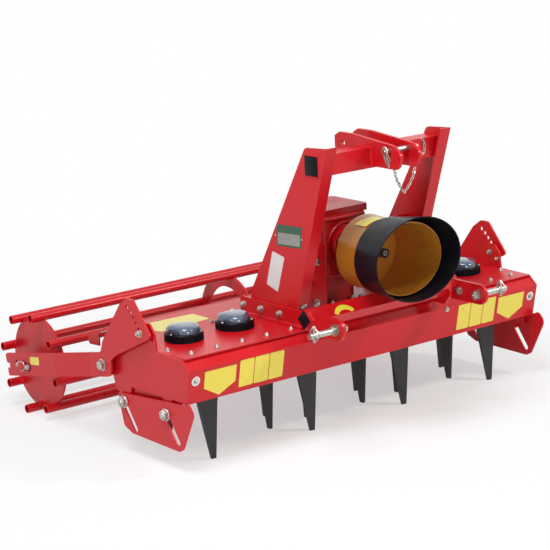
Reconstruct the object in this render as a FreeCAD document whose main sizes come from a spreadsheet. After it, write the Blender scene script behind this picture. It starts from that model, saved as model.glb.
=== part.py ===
import FreeCAD, Part
import os
import Sketcher
from FreeCAD import Placement, Rotation, Vector

# A 1.5 m power harrow with a cage roller. Millimetres. +X is across the machine,
# -Y is the tractor's side, z = 0 is the ground. Every place below is written with
# y = 0 at the trough's front corner, and move_y centres the machine on the origin.

os.makedirs("parts", exist_ok=True)
doc = FreeCAD.newDocument("PowerHarrow")

SIZE = {
    # the whole machine
    "front_end": -240, "roller_y": 995, "cage_r": 180, "tube_r": 16, "tube_wall": 3,
    "roller_z": 192.663, "move_y": -473.83,
    # trough, lid and end plates
    "wall": 8, "lid_z": 388, "lid_t": 5, "trough_low": 239, "trough_rear": 450, "trough_half": 791,
    "end_t": 8, "shelf_z": 393, "deck_z": 401,
    # rotors
    "pitch": 215, "line_y": 238, "hub_half": 49, "hub_low": 206, "hub_t": 20, "shaft_r": 30,
    "shaft_long": 56, "foot_low": 212, "foot_top": 226, "foot_w": 76, "blade_out": 132,
    "blade_top_t": 14, "blade_tip_t": 10, "housing_r": 75, "housing_low": 231, "running": 0.3,
    # side deflectors
    "side_gap": 5, "deflector_t": 5, "stud_r": 10, "slot_r": 10.5,
    # roller arms
    "pivot_y": 480, "pivot_z": 294, "arm_t": 8, "joggle": 14, "pivot_bolt_r": 10,
    # roller
    "cage_gap": 13, "disc_r": 172, "disc_t": 8, "disc_inset": 56, "axle_r": 15, "axle_proud": 14,
    "ring_r": 175, "ring_in": 125, "ring_x": 96, "bearing_r": 30,
    # headstock
    "mast_in": 270, "mast_t": 8, "bar_side": 50, "bar_over": 15, "bar_y": -41, "bar_z": 451,
    "bracket_gap": 2, "bracket_t": 10, "lug_gap": 28, "lug_t": 12, "lower_y": -191, "lower_z": 440,
    "lower_r": 11, "collar_long": 11.5, "pin_long": 104.5, "beam_side": 70, "beam_over": 1,
    "beam_y": -31, "beam_z": 964, "ear_in": 35.5, "ear_t": 12, "top_ahead": 127, "top_rise": 32,
    "top_r": 9.5, "top_half": 75,
    # gearbox, input shaft and its shield
    "box_half": 95, "input_z": 625, "pto_r": 17.45, "pto_end": -67, "neck_r": 45, "neck_end": 25,
    "ring_wall": 4, "bell_wall": 3,
}
sheet = doc.addObject("Spreadsheet::Sheet", "Sizes")
for row, (alias, number) in enumerate(SIZE.items(), start=1):
    sheet.set("A%d" % row, alias)
    sheet.set("B%d" % row, str(number))
    sheet.setAlias("B%d" % row, alias)
doc.recompute()


def q(alias, extra=0.0, times=1.0):
    """One length: its number now, and the expression that ties it to the sheet."""
    return (SIZE[alias] * times + extra, "Sizes.%s * (%s) + (%s)" % (alias, times, extra))


def val(length):
    return float(length[0]) if isinstance(length, tuple) else float(length)


def expr(length):
    return length[1] if isinstance(length, tuple) else "(%s)" % float(length)


def plus(*lengths):
    """Adds lengths and keeps what ties each one to the sheet."""
    return (sum(val(one) for one in lengths), " + ".join("(%s)" % expr(one) for one in lengths))


def scaled(length, k):
    return (val(length) * k, "(%s) * (%s)" % (expr(length), k))


def outward(sign, start, length=0.0):
    """Where a piece begins along x so that it reaches outwards from start on its own side."""
    return start if sign > 0 else scaled(plus(start, length), -1)


def place(thing, x, y, z, axis=None, angle=0.0):
    if axis is not None:
        thing.Placement = Placement(Vector(), Rotation(axis, angle))
    thing.setExpression("Placement.Base.x", expr(x))
    thing.setExpression("Placement.Base.y", expr(y) + " + Sizes.move_y")
    thing.setExpression("Placement.Base.z", expr(z))
    return thing


def pin_point(sketch, geometry, point, a, b):
    for kind, length in (("DistanceX", a), ("DistanceY", b)):
        number = sketch.addConstraint(Sketcher.Constraint(kind, -1, 1, geometry, point, val(length)))
        if isinstance(length, tuple):
            sketch.setExpression("Constraints[%d]" % number, length[1])


def round_size(sketch, geometry, r):
    number = sketch.addConstraint(Sketcher.Constraint("Radius", geometry, val(r)))
    if isinstance(r, tuple):
        sketch.setExpression("Constraints[%d]" % number, r[1])


def draw(body, name, role, loops=(), circles=(), slots=()):
    """A sketch on one of the body's own planes: polygons, circles and straight slots."""
    sketch = body.newObject("Sketcher::SketchObject", name)
    plane = [f for f in body.Origin.OriginFeatures if f.Role == role][0]
    sketch.AttachmentSupport = [(plane, "")]
    sketch.MapMode = "FlatFace"
    for loop in loops:
        first = sketch.GeometryCount
        count = len(loop)
        flat = [Vector(val(a), val(b), 0) for a, b in loop]
        for k in range(count):
            sketch.addGeometry(Part.LineSegment(flat[k], flat[(k + 1) % count]))
        for k in range(count):
            sketch.addConstraint(Sketcher.Constraint("Coincident", first + k, 2,
                                                     first + (k + 1) % count, 1))
        for k, (a, b) in enumerate(loop):
            pin_point(sketch, first + k, 1, a, b)
    for a, b, r in circles:
        g = sketch.addGeometry(Part.Circle(Vector(val(a), val(b), 0), Vector(0, 0, 1), val(r)))
        round_size(sketch, g, r)
        pin_point(sketch, g, 3, a, b)
    for a1, b1, a2, b2, r in slots:
        p1, p2, rr = Vector(val(a1), val(b1), 0), Vector(val(a2), val(b2), 0), val(r)
        way = (p2 - p1).normalize()
        side = Vector(-way.y, way.x, 0) * rr
        arc1 = sketch.addGeometry(Part.Arc(p1 + side, p1 - way * rr, p1 - side))
        arc2 = sketch.addGeometry(Part.Arc(p2 - side, p2 + way * rr, p2 + side))
        low = sketch.addGeometry(Part.LineSegment(p1 - side, p2 - side))
        high = sketch.addGeometry(Part.LineSegment(p2 + side, p1 + side))
        for g1, e1, g2, e2 in ((arc1, 2, low, 1), (low, 2, arc2, 1),
                               (arc2, 2, high, 1), (high, 2, arc1, 1)):
            sketch.addConstraint(Sketcher.Constraint("Tangent", g1, e1, g2, e2))
        round_size(sketch, arc1, r)
        sketch.addConstraint(Sketcher.Constraint("Equal", arc1, arc2))
        pin_point(sketch, arc1, 3, a1, b1)
        pin_point(sketch, arc2, 3, a2, b2)
    return sketch


AXES = {"YZ_Plane": ("y", "z"), "XZ_Plane": ("x", "z"), "XY_Plane": ("x", "y")}


def soften(body, base, role, corners):
    """Fillets on the edges that stand on the named corners of an outline."""
    first, second = AXES[role]
    for r in sorted({c[2] for c in corners}):
        names = []
        for number, edge in enumerate(base.Shape.Edges, start=1):
            for a, b, rr in corners:
                if rr == r and all(abs(getattr(v.Point, first) - val(a)) < 0.02
                                   and abs(getattr(v.Point, second) - val(b)) < 0.02
                                   for v in edge.Vertexes) and edge.Length > 1:
                    names.append("Edge%d" % number)
        fillet = body.newObject("PartDesign::Fillet", body.Name + "_round")
        fillet.Base = (base, sorted(set(names)))
        fillet.Radius = r
        doc.recompute()
        base = fillet
    return base


def plate(name, role, loop, thick, at=(0, 0, 0), circles=(), slots=(), corners=(), middle=False):
    """A flat piece: one outline with its holes, padded, placed, and rounded at its corners."""
    body = doc.addObject("PartDesign::Body", name)
    body.Label = name
    sketch = draw(body, name + "_outline", role, [loop], circles, slots)
    pad = body.newObject("PartDesign::Pad", name + "_pad")
    pad.Profile = sketch
    pad.Midplane = middle
    pad.setExpression("Length", expr(thick))
    doc.recompute()
    if corners:
        soften(body, pad, role, corners)
    place(body, *at)
    return body


def pocket(body, name, role, loops=(), circles=(), slots=(), depth=4000):
    """Cuts an outline right through the body, both ways from the sketch's plane."""
    sketch = draw(body, name + "_outline", role, loops, circles, slots)
    cut = body.newObject("PartDesign::Pocket", name)
    cut.Profile = sketch
    cut.Midplane = True
    cut.Length = depth
    doc.recompute()
    return cut


def turned(name, profile, at):
    """A solid of revolution about its own vertical axis, from (radius, height) points."""
    body = doc.addObject("PartDesign::Body", name)
    body.Label = name
    sketch = draw(body, name + "_profile", "XZ_Plane", [profile])
    turn = body.newObject("PartDesign::Revolution", name + "_turn")
    turn.Profile = sketch
    turn.ReferenceAxis = (sketch, ["V_Axis"])
    turn.Angle = 360
    doc.recompute()
    place(body, *at)
    return body


WAYS = {"x": (Vector(0, 1, 0), 90), "y": (Vector(1, 0, 0), -90), "z": (Vector(0, 0, 1), 0)}


def rod(name, way, at, r, length):
    """A cylinder from its start point along +x, +y or +z."""
    thing = doc.addObject("Part::Cylinder", name)
    thing.setExpression("Radius", expr(r))
    thing.setExpression("Height", expr(length))
    return place(thing, *at, *WAYS[way])


def hexagon(name, way, at, r, length):
    thing = doc.addObject("Part::Prism", name)
    thing.Polygon = 6
    thing.setExpression("Circumradius", expr(r))
    thing.setExpression("Height", expr(length))
    return place(thing, *at, *WAYS[way])


def fuse(name, things):
    joined = doc.addObject("Part::MultiFuse", name)
    joined.Label = name
    joined.Shapes = list(things)
    return joined


def cut(name, base, tool):
    left = doc.addObject("Part::Cut", name)
    left.Label = name
    left.Base, left.Tool = base, tool
    return left


def group(name, things):
    several = doc.addObject("Part::Compound", name)
    several.Label = name
    several.Links = list(things)
    return several


NODE = {}

# Each side is a stack of layers counted outwards from the trough's end.
SIDE = plus(q("trough_half"), q("end_t"))
DEFLECTOR = plus(SIDE, q("side_gap"))
ARM_IN = plus(DEFLECTOR, q("deflector_t"), q("side_gap"))
ARM_REAR = plus(ARM_IN, q("joggle"))
AXLE_END = plus(ARM_REAR, q("arm_t"), q("axle_proud"))
CAGE_HALF = plus(ARM_REAR, q("cage_gap", 0, -1))
DISC_X = plus(CAGE_HALF, q("disc_inset", 0, -1))
# The headstock is counted outwards from the masts in the same way.
BRACKET_X = plus(q("mast_in"), q("mast_t"), q("bracket_gap"))
LUG_X = plus(BRACKET_X, q("bracket_t"), q("lug_gap"))
LUG_OUT = plus(LUG_X, q("lug_t"))
BAR_HALF = plus(LUG_OUT, q("bar_over"))
BEAM_HALF = plus(q("mast_in"), q("mast_t"), q("beam_over"))
# The top link's pin is counted from the beam that carries its ears.
TOP_Y = plus(q("beam_y"), q("top_ahead", 0, -1))
TOP_Z = plus(q("beam_z"), q("top_rise"))

# ---------------------------------------------------------------- trough, lid and hood
# One bent sheet: flange, chamfer, leaning front wall, bottom, rear wall and flange.
trough = plate("trough", "YZ_Plane",
               [(70, q("lid_z")), (42, q("lid_z")), (0, 357), (25, q("trough_low")),
                (q("trough_rear"), q("trough_low")), (q("trough_rear"), q("lid_z")), (400, q("lid_z")),
                (400, q("lid_z", -8)), (q("trough_rear", -8), q("lid_z", -8)),
                (q("trough_rear", -8), q("trough_low", 8)), (31.5, q("trough_low", 8)),
                (8.9, 353.6), (44.6, q("lid_z", -8)), (70, q("lid_z", -8))],
               q("trough_half", 0, 2), (q("trough_half", 0, -1), 0, 0))
rotor_x = [q("pitch", 0, k) for k in (-3, -2, -1, 0, 1, 2, 3)]
# The trough's own frame starts at its left end, so the holes are counted from there.
pocket(trough, "bearing_holes", "XY_Plane",
       circles=[(q("pitch", SIZE["trough_half"], k), q("line_y"), 45) for k in (-3, -2, -1, 0, 1, 2, 3)])
NODE["trough"] = trough

NODE["lid"] = plate("lid", "XY_Plane",
                    [(q("trough_half", 0, -1), 30), (q("trough_half"), 30),
                     (q("trough_half"), q("trough_rear")), (q("trough_half", 0, -1), q("trough_rear"))],
                    q("lid_t"), (0, 0, q("lid_z")))

hood = plate("hood_sheet", "YZ_Plane",
             [(q("trough_rear"), q("shelf_z")), (560, q("shelf_z")), (691, 346), (689.3, 341.3),
              (559.1, q("lid_z")), (q("trough_rear"), q("lid_z"))], 1490, (-745, 0, 0))
gussets = [plate("hood_gusset_%d" % k, "YZ_Plane",
                 [(615, 320), (680, 316), (689.3, 341.3), (615, 368)], 5, (x, 0, 0), corners=[(680, 316, 12)])
           for k, x in enumerate((-745, 740))]
NODE["rear_hood"] = fuse("rear_hood", [hood] + gussets)

# ---------------------------------------------------------------- end plates with their studs
END = [(0, 357), (38, 390), (184, 393), (190, 450), (215, 480), (265, 480), (330, 393),
       (q("trough_rear"), 393), (q("pivot_y", 38), q("pivot_z", 44)), (q("pivot_y", 38), q("pivot_z", -38)),
       (452, 256), (440, 214), (405, 200), (400, 162), (362, 162), (345, 237), (158, 240),
       (150, 168), (114, 168), (106, 242), (25, q("trough_low"))]
STUDS = ((381, 180), (132, 187))
for side, sign in (("left", -1), ("right", 1)):
    start = q("trough_half") if sign > 0 else q("trough_half", -SIZE["end_t"], -1)
    flat = plate("end_sheet_" + side, "YZ_Plane", END, q("end_t"), (start, 0, 0),
                 circles=[(240, 447, 6.5), (203, 426, 5)],
                 corners=[(END[8][0], END[8][1], 38), (END[9][0], END[9][1], 34), (215, 480, 14),
                          (265, 480, 14), (190, 450, 10), (400, 162, 12), (362, 162, 12),
                          (150, 168, 12), (114, 168, 12)])
    # A strip behind the plate's lower edge closes the slit above the deflector.
    strip = plate("end_strip_" + side, "YZ_Plane",
                  [(60, 192), (400, 192), (400, q("trough_low")), (60, q("trough_low"))], 3,
                  (outward(sign, q("trough_half", -3), 3), 0, 0), corners=[(60, 192, 12)])
    pieces = [flat, strip]
    for k, (y, z) in enumerate(STUDS):
        at = SIDE
        for part_name, long, r in (("spacer", q("side_gap", -0.5), 15),
                                   ("shank", q("deflector_t", 1), q("stud_r")),
                                   ("washer", 2, 22), ("head", 9, 17)):
            shape = hexagon if part_name == "head" else rod
            pieces.append(shape("stud_%s_%s_%d" % (part_name, side, k), "x",
                                (outward(sign, at, long), y, z), r, long))
            at = plus(at, long)
    NODE["end_plate_" + side] = fuse("end_plate_" + side, pieces)

# ---------------------------------------------------------------- side deflectors
SHIELD = [(412, 207), (405, 162), (388, 94), (341, 76), (66, 72), (42, 84), (-31, 222), (4, 251), (23, 241)]
for side, sign in (("left", -1), ("right", 1)):
    NODE["deflector_" + side] = plate(
        "deflector_" + side, "YZ_Plane", SHIELD, q("deflector_t"),
        (outward(sign, DEFLECTOR, q("deflector_t")), 0, 0),
        slots=[(y, z, y - 63.6, z - 84.8, q("slot_r")) for y, z in STUDS],
        corners=[(388, 94, 16), (341, 76, 10), (66, 72, 12), (42, 84, 22), (412, 207, 6),
                 (-31, 222, 30), (4, 251, 15)])

# ---------------------------------------------------------------- rotors, tines and housings
housings = []
for k, x in enumerate(rotor_x, start=1):
    odd = k % 2 == 1
    angle = -4.0 if odd else 94.0
    h = q("hub_half")
    m = q("hub_half", 0, -1)
    body = plate("rotor_%d" % k, "XY_Plane", [(m, m), (h, m), (h, h), (m, h)], q("hub_t"), (0, 0, 0),
                 corners=[(h, h, 8), (m, h, 8), (h, m, 8), (m, m, 8)])
    shaft = draw(body, "shaft_circle_%d" % k, "XY_Plane", circles=[(0, 0, q("shaft_r"))])
    pad = body.newObject("PartDesign::Pad", "shaft_pad_%d" % k)
    pad.Profile = shaft
    pad.setExpression("Length", expr(q("shaft_long")))
    place(body, x, q("line_y"), q("hub_low"), Vector(0, 0, 1), angle)
    NODE["rotor_%d" % k] = body
    # An L-shaped tine on each side. Its tip stands towards the trailing side.
    tip = 1 if odd else -1
    pair = []
    for n in (0, 1):
        tine = plate("tine_%d_%d" % (k, n), "YZ_Plane",
                     [(q("hub_half", 0, -1), q("foot_top")), (q("blade_out", 0, -1), q("foot_top")),
                      (q("blade_out", 0, -1), 0),
                      (q("blade_out", SIZE["blade_tip_t"], -1), 0),
                      (q("blade_out", SIZE["blade_top_t"], -1), q("foot_low")),
                      (q("hub_half", 0, -1), q("foot_low"))],
                     q("foot_w"), (0, 0, 0),
                     corners=[(q("blade_out", 0, -1), q("foot_top"), 18),
                              (q("blade_out", SIZE["blade_top_t"], -1), q("foot_low"), 6)], middle=True)
        pocket(tine, "tine_taper_%d_%d" % (k, n), "XZ_Plane",
               [[(tip * -60, 225), (tip * -42.1, 225), (tip * 4, 0), (tip * 4, -20), (tip * -60, -20)]],
               depth=600)
        pocket(tine, "tine_back_%d_%d" % (k, n), "XZ_Plane",
               [[(tip * 60, 225), (tip * 39.56, 225), (tip * 22, 0), (tip * 22, -20), (tip * 60, -20)]],
               depth=600)
        place(tine, x, q("line_y"), 0, Vector(0, 0, 1), angle + 180 * n)
        pair.append(tine)
    NODE["tines_%d" % k] = group("tines_%d" % k, pair)
    outer = rod("housing_outer_%d" % k, "z", (x, q("line_y"), q("housing_low")), q("housing_r"), 8)
    bore = rod("housing_bore_%d" % k, "z", (x, q("line_y"), q("housing_low", -5)),
               q("shaft_r", SIZE["running"]), 20)
    housings.append(cut("housing_%d" % k, outer, bore))
NODE["bearing_housings"] = group("bearing_housings", housings)

# ---------------------------------------------------------------- arms with their depth sectors
ARM = [(177, 443), (400, 340), (428, 318), (430.3, 260), (472.1, 252.2), (1104.1, 133.1), (1108, 163),
       (1092, 163), (1092, 183), (1113, 183), (1119.9, 216.7), (520, 329.7), (489, 339), (474, 378),
       (354, 528), (311, 558), (272, 557)]
SECTOR = ((308.3, 525.2), (290.3, 510.7), (273.5, 494.8), (258.1, 477.6))
for side, sign in (("left", -1), ("right", 1)):
    blank = plate("arm_side_" + side, "YZ_Plane", ARM, 60, (outward(sign, plus(ARM_IN, -24), 60), 0, 0),
                  circles=[(q("pivot_y"), q("pivot_z"), q("pivot_bolt_r", SIZE["running"]))]
                  + [(y, z, 8) for y, z in SECTOR],
                  slots=[(233.5, 444, 245.2, 460.5, 7),
                         (957.5, q("roller_z"), 1033.5, q("roller_z"), 15.5)],
                  corners=[(311, 558, 24), (272, 557, 20), (430.3, 260, 30), (177, 443, 12),
                           (1104.1, 133.1, 10), (1119.9, 216.7, 12)])
    x0, x1 = scaled(ARM_IN, sign), scaled(plus(ARM_IN, q("arm_t")), sign)
    x2, x3 = scaled(ARM_REAR, sign), scaled(plus(ARM_REAR, q("arm_t")), sign)
    bend = plate("arm_bend_" + side, "XY_Plane",
                 [(x0, 100), (x0, 560), (x2, 775), (x2, 1200), (x3, 1200), (x3, 775), (x1, 560), (x1, 100)],
                 700, (0, 0, 0))
    arm = doc.addObject("Part::Common", "roller_arm_" + side)
    arm.Label = "roller_arm_" + side
    arm.Base, arm.Tool = blank, bend
    NODE["roller_arm_" + side] = arm

rings, bolts = [], []
for side, sign in (("left", -1), ("right", 1)):
    outer = rod("bearing_outer_" + side, "x",
                (outward(sign, plus(ARM_REAR, -8), 8), q("roller_y"), q("roller_z")), q("bearing_r"), 8)
    bore = rod("bearing_bore_" + side, "x",
               (outward(sign, plus(ARM_REAR, -12), 16), q("roller_y"), q("roller_z")),
               q("axle_r", SIZE["running"]), 16)
    rings.append(cut("bearing_" + side, outer, bore))
    pieces, at = [], SIDE
    for part_name, long, r in (("spacer", plus(ARM_IN, scaled(SIDE, -1), -0.3), 20),
                               ("shank", q("arm_t", 0.7), q("pivot_bolt_r")),
                               ("washer", 2.6, 21), ("head", 12, 17)):
        shape = hexagon if part_name == "head" else rod
        pieces.append(shape("pivot_%s_%s" % (part_name, side), "x",
                            (outward(sign, at, long), q("pivot_y"), q("pivot_z")), r, long))
        at = plus(at, long)
    bolts.append(fuse("pivot_bolt_" + side, pieces))
NODE["roller_bearings"] = group("roller_bearings", rings)
NODE["pivot_bolts"] = group("pivot_bolts", bolts)

# ---------------------------------------------------------------- cage roller
def around(k):
    """Where one cage tube runs: its height and depth, counted from the roller's axle."""
    turn = Rotation(Vector(1, 0, 0), -(33.95 + 45 * k)).multVec(Vector(0, -SIZE["cage_r"], 0))
    return q("roller_y", turn.y), q("roller_z", turn.z)


tubes, notches = [], []
for k in range(8):
    y, z = around(k)
    skin = rod("cage_skin_%d" % k, "x", (scaled(CAGE_HALF, -1), y, z), q("tube_r"), scaled(CAGE_HALF, 2))
    start, long = scaled(plus(CAGE_HALF, 5), -1), scaled(plus(CAGE_HALF, 5), 2)
    hollow = rod("cage_hollow_%d" % k, "x", (start, y, z),
                 plus(q("tube_r"), q("tube_wall", 0, -1)), long)
    tubes.append(cut("cage_tube_%d" % k, skin, hollow))
    notches.append(rod("cage_notch_%d" % k, "x", (start, y, z), q("tube_r"), long))
NODE["roller_tubes"] = group("roller_tubes", tubes)
notch = group("cage_notches", notches)
axle_ends = []
for side, sign in (("left", -1), ("right", 1)):
    disc = rod("disc_round_" + side, "x",
               (outward(sign, DISC_X, q("disc_t")), q("roller_y"), q("roller_z")),
               q("disc_r"), q("disc_t"))
    axle_ends.append(cut("disc_cut_" + side, disc, notch))
    face = plus(DISC_X, q("disc_t"))
    long = plus(AXLE_END, scaled(face, -1))
    axle_ends.append(rod("axle_" + side, "x",
                         (outward(sign, face, long), q("roller_y"), q("roller_z")), q("axle_r"), long))
NODE["roller_discs"] = group("roller_discs", axle_ends)
ring_solid = rod("ring_round", "x", (q("ring_x"), q("roller_y"), q("roller_z")), q("ring_r"), q("disc_t"))
ring_hole = rod("ring_hole", "x", (q("ring_x", -10), q("roller_y"), q("roller_z")), q("ring_in"), 40)
NODE["roller_ring"] = cut("roller_ring", cut("ring_open", ring_solid, ring_hole), notch)

# ---------------------------------------------------------------- headstock
NODE["platform"] = plate("platform", "XY_Plane",
                         [(-300, 45), (70, 45), (70, 35), (300, 35), (300, 390), (-300, 390)],
                         q("deck_z", -SIZE["shelf_z"]), (0, 0, q("shelf_z")),
                         corners=[(-300, 45, 12), (300, 35, 12)])
MAST = [(75, 467), (q("beam_y", -81), q("beam_z", 65)), (q("beam_y", 35), q("beam_z", 58)),
        (339, 473), (339, q("deck_z")), (92, q("deck_z"))]
FLANGE = [(75, 467), (q("beam_y", -81), q("beam_z", 65)), (q("beam_y", -72.6), q("beam_z", 65)), (83.4, 467)]
for side, sign in (("left", -1), ("right", 1)):
    start = q("mast_in") if sign > 0 else q("mast_in", -SIZE["mast_t"], -1)
    web = plate("mast_web_" + side, "YZ_Plane", MAST, q("mast_t"), (start, 0, 0),
                corners=[(4, 1022, 20), (339, 473, 25)])
    half = q("beam_side", 0, 0.5)
    pocket(web, "beam_window_" + side, "YZ_Plane",
           [[(plus(q("beam_y"), scaled(half, a)), plus(q("beam_z"), scaled(half, b)))
             for a, b in ((-1, -1), (1, -1), (1, 1), (-1, 1))]],
           depth=60)
    lip = plate("mast_lip_" + side, "YZ_Plane", FLANGE, 38,
                (outward(sign, q("mast_in", -38), 38), 0, 0))
    NODE["mast_" + side] = fuse("mast_" + side, [web, lip])
struts = [plate("strut_%d" % k, "XZ_Plane",
                [(s * 112, q("deck_z")), (q("mast_in", 0, s), q("deck_z")), (q("mast_in", 0, s), 695),
                 (s * 160, 695), (s * 112, 640)],
                8, (0, 128, 0), circles=[(s * 190, 520, 22)])
          for k, s in enumerate((-1, 1))]
NODE["mast_struts"] = group("mast_struts", struts)

beam_outer = doc.addObject("Part::Box", "beam_outer")
beam_inner = doc.addObject("Part::Box", "beam_inner")
for thing, less, longer in ((beam_outer, 0, 0), (beam_inner, 5, 10)):
    thing.setExpression("Length", expr(plus(scaled(BEAM_HALF, 2), longer)))
    thing.setExpression("Width", expr(q("beam_side", -2 * less)))
    thing.setExpression("Height", expr(q("beam_side", -2 * less)))
    place(thing, plus(scaled(BEAM_HALF, -1), -longer / 2.0), q("beam_y", less - SIZE["beam_side"] / 2.0),
          q("beam_z", less - SIZE["beam_side"] / 2.0))
NODE["top_tube"] = cut("top_tube", beam_outer, beam_inner)

EAR = [(q("beam_y", a), q("beam_z", b)) for a, b in
       ((155, 11), (155, 58), (131, 72), (61, 72), (-149, 51), (-188, 21), (-174, -19),
        (-159, -29), (-35, -29), (-35, 35), (35, 35), (35, 11))]
ears = [plate("ear_%d" % k, "YZ_Plane", EAR, q("ear_t"), (outward(s, q("ear_in"), q("ear_t")), 0, 0),
              circles=[(TOP_Y, TOP_Z, q("top_r", 0.3)), (q("beam_y", 111), q("beam_z", 35), 10)],
              corners=[(EAR[4][0], EAR[4][1], 30), (EAR[5][0], EAR[5][1], 22),
                       (EAR[6][0], EAR[6][1], 12), (EAR[0][0], EAR[0][1], 10)])
        for k, s in enumerate((-1, 1))]
NODE["clevis_plates"] = group("clevis_plates", ears)
pin_rod = rod("top_pin_rod", "x", (q("top_half", 0, -1), TOP_Y, TOP_Z), q("top_r"), q("top_half", 0, 2))
pin_head = rod("top_pin_head", "x", (plus(q("ear_in"), q("ear_t")), TOP_Y, TOP_Z), 16, 8)
NODE["top_link_pin"] = fuse("top_link_pin", [pin_rod, pin_head])

# Foot brackets cradle the square tube, which is turned on its corner.
reach = SIZE["bar_side"] * 0.7071068
y0, z0 = SIZE["bar_y"], SIZE["bar_z"]
FOOT = [(388, q("deck_z")), (388, 455), (q("bar_y", reach + 4), q("bar_z", 4)),
        (q("bar_y", reach), q("bar_z")),
        (q("bar_y"), q("bar_z", -reach)), (q("bar_y", -reach), q("bar_z")),
        (q("bar_y", -reach - 7.6), q("bar_z", -7.6)), (q("bar_y", -reach - 7.6), q("bar_z", -26)),
        (-55, 390), (28, 390), (28, q("deck_z"))]
feet = [plate("foot_%d" % k, "YZ_Plane", FOOT, q("bracket_t"),
              (outward(s, BRACKET_X, q("bracket_t")), 0, 0),
              corners=[(388, 455, 16), (-55, 390, 14)])
        for k, s in enumerate((-1, 1))]
NODE["foot_brackets"] = group("foot_brackets", feet)

pieces = []
for part_name, less in (("skin", 0), ("hollow", 5)):
    bar = doc.addObject("Part::Box", "bar_" + part_name)
    bar.setExpression("Length", expr(plus(scaled(BAR_HALF, 2), less)))
    bar.setExpression("Width", expr(q("bar_side", -2 * less)))
    bar.setExpression("Height", expr(q("bar_side", -2 * less)))
    place(bar, plus(scaled(BAR_HALF, -1), -less / 2.0), q("bar_y"), q("bar_z", -reach + less * 1.4142136),
          Vector(1, 0, 0), 45)
    pieces.append(bar)
bar_tube = cut("bar_tube", pieces[0], pieces[1])
LUG = [(q("lower_y", -36), q("lower_z", 36)), (q("bar_y", -reach + 25), q("lower_z", 36)),
       (q("bar_y", -reach), q("bar_z")), (q("bar_y"), q("bar_z", -reach)), (-52, q("lower_z", -36)),
       (q("lower_y", -36), q("lower_z", -36))]
lugs = [plate("lug_%d" % k, "YZ_Plane", LUG, q("lug_t"),
              (outward(s, LUG_X, q("lug_t")), 0, 0),
              circles=[(q("lower_y"), q("lower_z"), q("lower_r"))],
              corners=[(LUG[0][0], LUG[0][1], 34), (LUG[5][0], LUG[5][1], 34)])
        for k, s in enumerate((-1, 1))]
NODE["hitch_tube"] = fuse("hitch_tube", [bar_tube] + lugs)

pins = []
for side, sign in (("left", -1), ("right", 1)):
    pieces = []
    for part_name, start, long, r in (
            ("stub", plus(LUG_X, -28), plus(28, q("lug_t"), q("collar_long"), q("pin_long")), q("lower_r")),
            ("collar", LUG_OUT, q("collar_long"), 20), ("nut", plus(LUG_X, -17), 17, 19)):
        shape = hexagon if part_name == "nut" else rod
        pieces.append(shape("lower_%s_%s" % (part_name, side), "x",
                            (outward(sign, start, long), q("lower_y"), q("lower_z")), r, long))
    pins.append(fuse("lower_pin_" + side, pieces))
NODE["hitch_pins"] = group("hitch_pins", pins)

# ---------------------------------------------------------------- gearbox and input shaft
def block(name, half_x, y_a, y_b, z_a, z_b, r):
    loop = [(-half_x, y_a), (half_x, y_a), (half_x, y_b), (-half_x, y_b)]
    return plate(name, "XY_Plane", loop, z_b - z_a, (0, 0, z_a), corners=[(a, b, r) for a, b in loop])


case = fuse("gear_case", [
    block("gear_flange", 100, 165, 340, SIZE["deck_z"], 416, 14),
    block("gear_pedestal", 80, 185, 320, 416, 520, 30),
    block("gear_body", SIZE["box_half"], 140, 330, 520, 735, 24),
    rod("gear_neck", "y", (0, q("neck_end"), q("input_z")), q("neck_r"), 130),
    rod("gear_boss", "y", (0, 112, q("input_z")), 72, 30)])
NODE["gearbox"] = cut("gearbox", case, rod("shaft_bore", "y", (0, q("neck_end", -5), q("input_z")),
                                           q("pto_r", 0.05), 90))
NODE["gearbox_cover"] = block("gearbox_cover", 115, 150, 345, 735, 757, 12)
NODE["input_shaft"] = fuse("input_shaft", [
    rod("shaft_rod", "y", (0, q("pto_end"), q("input_z")), q("pto_r"), 170),
    rod("shaft_collar", "y", (0, 8, q("input_z")), 24, q("neck_end", -8.5))])

# ---------------------------------------------------------------- shaft shield
def oval_tube(name, sections, wall, overrun=2.0):
    """A thin oval sleeve lofted through (y, half width, half height, centre height)."""
    lofts = []
    for part_name, less in (("out", 0.0), ("in", float(wall))):
        ovals = []
        for k, (y, a, b, z) in enumerate(sections):
            if less and k == 0:
                y -= overrun
            if less and k == len(sections) - 1:
                y += overrun
            oval = doc.addObject("Part::Ellipse", "%s_%s_%d" % (name, part_name, k))
            oval.MajorRadius = a - less
            oval.MinorRadius = b - less
            place(oval, 0, y, z, Vector(1, 0, 0), 90)
            ovals.append(oval)
        loft = doc.addObject("Part::Loft", "%s_%s" % (name, part_name))
        loft.Sections = ovals
        loft.Solid = True
        loft.Ruled = False
        lofts.append(loft)
    return cut(name, *lofts)


def oval_slab(name, y, a, b, z, thick):
    """A flat oval, standing upright, from y - thick to y."""
    oval = doc.addObject("Part::Ellipse", name + "_oval")
    oval.MajorRadius, oval.MinorRadius = a, b
    place(oval, 0, y, z, Vector(1, 0, 0), 90)
    slab = doc.addObject("Part::Extrusion", name)
    slab.Base, slab.Dir, slab.LengthFwd, slab.Solid = oval, Vector(0, -1, 0), thick, True
    return slab


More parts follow.
